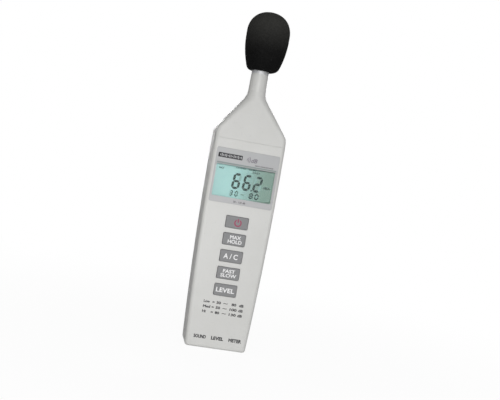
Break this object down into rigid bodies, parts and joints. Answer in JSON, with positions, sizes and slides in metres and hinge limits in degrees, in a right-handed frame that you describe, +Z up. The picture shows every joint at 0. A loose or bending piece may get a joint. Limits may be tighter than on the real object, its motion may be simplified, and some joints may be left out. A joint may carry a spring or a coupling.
{
  "type": "sound level meter",
  "caption": "Hand-held sound level meter: tapered two-shell case with a display, a column of keys, a microphone neck with a foam windscreen and a battery door at the back.",
  "frame": {"origin": "on the microphone axis, at the centre of the flat base", "axes": "+Z up the meter to the microphone, -Y out of the front panel, +X to the reader's right"},
  "size_m": [0.0526, 0.032, 0.2526],
  "materials": {
    "case_plastic": "matte",
    "label_film": "satin",
    "clear_window": "gloss",
    "display_glass": "gloss",
    "frame_plastic": "matte",
    "strip_rubber": "matte",
    "key_grey": "matte",
    "mat_silicone": "matte",
    "board_green": "satin",
    "chip_black": "matte",
    "can_metal": "satin",
    "header_white": "matte",
    "trimmer_blue": "satin",
    "brass_parts": "satin",
    "barrel_metal": "satin",
    "grid_metal": "satin",
    "sleeve_rubber": "matte",
    "foam_black": "matte",
    "battery_jacket": "satin",
    "snap_metal": "satin",
    "connector_black": "matte",
    "pad_foam": "matte",
    "lead_black": "satin",
    "lead_red": "satin",
    "lead_grey": "satin"
  },
  "bodies": {
    "case": {"front_case": "case_plastic", "rear_case": "case_plastic", "display_label": "label_film", "lcd_window": "clear_window", "lcd_front_glass": "display_glass", "lcd_rear_glass": "display_glass", "lcd_frame": "frame_plastic", "contact_strip": "strip_rubber", "keypad_mat": "mat_silicone", "circuit_board": "board_green", "board_chips": "chip_black", "board_buzzer": "chip_black", "board_capacitors": "can_metal", "board_crystal": "can_metal", "mic_header": "header_white", "battery_header": "header_white", "trimmer_body": "trimmer_blue", "tripod_insert": "brass_parts", "mic_barrel": "barrel_metal", "mic_capsule": "barrel_metal", "mic_grid": "grid_metal", "mic_sleeve": "sleeve_rubber", "battery": "battery_jacket", "battery_snaps": "snap_metal", "case_screws": "snap_metal", "board_screws": "snap_metal", "snap_connector": "connector_black", "battery_lead_black": "lead_black", "battery_lead_red": "lead_red", "mic_lead": "lead_grey"},
    "key_power": {"key_power": "key_grey"},
    "key_hold": {"key_hold": "key_grey"},
    "key_weighting": {"key_weighting": "key_grey"},
    "key_response": {"key_response": "key_grey"},
    "key_range": {"key_range": "key_grey"},
    "windscreen": {"windscreen": "foam_black"},
    "door": {"battery_door": "case_plastic", "battery_pad": "pad_foam"},
    "trimmer": {"trimmer_rotor": "brass_parts"}
  },
  "joints": [
    {"name": "key_power_press", "type": "slide", "parent": "case", "child": "key_power", "axis": [0, 1, 0], "range_m": [0, 0.0008], "stiffness_N_per_m": 2500, "springref_m": -0.0002},
    {"name": "key_hold_press", "type": "slide", "parent": "case", "child": "key_hold", "axis": [0, 1, 0], "range_m": [0, 0.0008], "stiffness_N_per_m": 2500, "springref_m": -0.0002},
    {"name": "key_weighting_press", "type": "slide", "parent": "case", "child": "key_weighting", "axis": [0, 1, 0], "range_m": [0, 0.0008], "stiffness_N_per_m": 2500, "springref_m": -0.0002},
    {"name": "key_response_press", "type": "slide", "parent": "case", "child": "key_response", "axis": [0, 1, 0], "range_m": [0, 0.0008], "stiffness_N_per_m": 2500, "springref_m": -0.0002},
    {"name": "key_range_press", "type": "slide", "parent": "case", "child": "key_range", "axis": [0, 1, 0], "range_m": [0, 0.0008], "stiffness_N_per_m": 2500, "springref_m": -0.0002},
    {"name": "windscreen_pull", "type": "slide", "parent": "case", "child": "windscreen", "axis": [0, 0, 1], "range_m": [0, 0.045]},
    {"name": "battery_door_open", "type": "hinge", "parent": "case", "child": "door", "pos_m": [0, 0.0159, 0.008], "axis": [-1, 0, 0], "range_deg": [0, 70]},
    {"name": "trimmer_turn", "type": "hinge", "parent": "case", "child": "trimmer", "pos_m": [0.0186, -0.0036, 0.126], "axis": [1, 0, 0], "range_deg": [-135, 135]}
  ]
}
